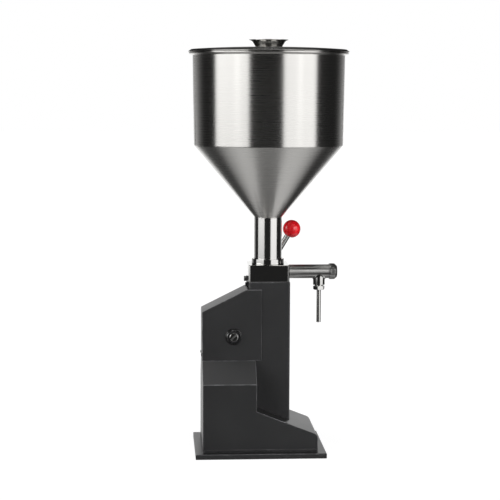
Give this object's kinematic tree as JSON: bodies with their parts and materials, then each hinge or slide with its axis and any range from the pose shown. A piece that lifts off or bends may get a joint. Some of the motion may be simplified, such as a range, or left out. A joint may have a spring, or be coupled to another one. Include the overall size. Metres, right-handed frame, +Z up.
{
  "type": "manual bottle filler",
  "caption": "Hand-lever bottle filler: lidded steel hopper on a polished valve block, side outlet with drop nozzle, piston pump in a black stand, ball lever.",
  "frame": {"origin": "where the pump's vertical axis meets the underside of the base plate", "axes": "+Z up along the hopper and pump axis, +X towards the outlet and nozzle, +Y towards the side that carries the lever"},
  "size_m": [0.2934, 0.2934, 0.7558],
  "materials": {
    "black_paint": "satin powder coat",
    "brushed_steel": "brushed stainless sheet",
    "polished_steel": "mirror polished stainless",
    "machined_steel": "turned stainless",
    "dark_steel": "blackened fasteners",
    "bronze": "machined bearing bronze",
    "red_plastic": "glossy moulded ball",
    "silicone": "food grade silicone",
    "seal_rubber": "moulded seal rubber"
  },
  "bodies": {
    "stand": {"base_plate": "black_paint", "lower_casing": "black_paint", "rear_hood": "black_paint", "column": "black_paint", "hem_screw_near": "dark_steel", "hem_screw_far": "dark_steel", "hood_screw_1": "dark_steel", "hood_screw_2": "dark_steel", "column_screw": "dark_steel", "clamp_lug": "dark_steel", "lug_screw": "dark_steel", "block_clamp_screw": "polished_steel", "near_boss": "black_paint", "far_boss": "black_paint", "near_bush": "dark_steel", "far_bush": "dark_steel", "pump_cylinder": "machined_steel", "cylinder_ring_nut": "dark_steel", "cylinder_seal_ring": "seal_rubber", "valve_block": "polished_steel", "inlet_seat": "machined_steel", "stem_guide": "machined_steel", "inlet_spring": "machined_steel", "outlet_tube": "polished_steel", "outlet_seat": "machined_steel", "outlet_spring": "machined_steel", "end_cap": "polished_steel", "cap_gasket": "silicone", "nozzle_nut": "polished_steel", "nozzle_gasket": "silicone", "nozzle_tube": "polished_steel", "neck_socket": "polished_steel", "neck_gasket": "silicone", "hopper_neck": "polished_steel", "hopper": "brushed_steel"},
    "lever": {"lever_shaft": "machined_steel", "crank_fork": "machined_steel", "fork_pin": "dark_steel", "thrust_washer": "machined_steel", "lever_hub": "black_paint", "hub_grub_screw": "dark_steel", "lever_rod": "polished_steel", "ball_knob": "red_plastic"},
    "piston": {"piston": "machined_steel", "piston_seal_lower": "seal_rubber", "piston_seal_upper": "seal_rubber", "piston_screw": "dark_steel", "piston_rod": "machined_steel", "rod_eye": "machined_steel", "crosshead_pin": "dark_steel", "pin_roller_near": "bronze", "pin_roller_far": "bronze"},
    "inlet_valve": {"inlet_poppet": "machined_steel", "inlet_seal": "silicone", "stem_nut": "machined_steel"},
    "outlet_valve": {"outlet_poppet": "machined_steel", "outlet_seal": "silicone"},
    "hopper_lid": {"lid": "brushed_steel", "lid_knob": "polished_steel", "knob_screw": "machined_steel"}
  },
  "joints": [
    {"name": "lever_swing", "type": "hinge", "parent": "stand", "child": "lever", "pos_m": [-0.0645, 0, 0.216], "axis": [0, 1, 0], "range_deg": [0, 44]},
    {"name": "piston_slide", "type": "slide", "parent": "stand", "child": "piston", "axis": [0, 0, -1], "range_m": [0, 0.0525]},
    {"name": "inlet_valve_slide", "type": "slide", "parent": "stand", "child": "inlet_valve", "axis": [0, 0, -1], "range_m": [0, 0.005], "stiffness_N_per_m": 400, "springref_m": -0.008, "deforming": ["inlet_spring"]},
    {"name": "outlet_valve_slide", "type": "slide", "parent": "stand", "child": "outlet_valve", "axis": [1, 0, 0], "range_m": [0, 0.004], "stiffness_N_per_m": 300, "springref_m": -0.008, "deforming": ["outlet_spring"]},
    {"name": "lid_lift", "type": "slide", "parent": "stand", "child": "hopper_lid", "axis": [0, 0, 1], "range_m": [0, 0.12]}
  ],
  "couplings": [
    {"joint": "piston_slide", "follows": "lever_swing", "m_per_rad": 0.06787}
  ]
}
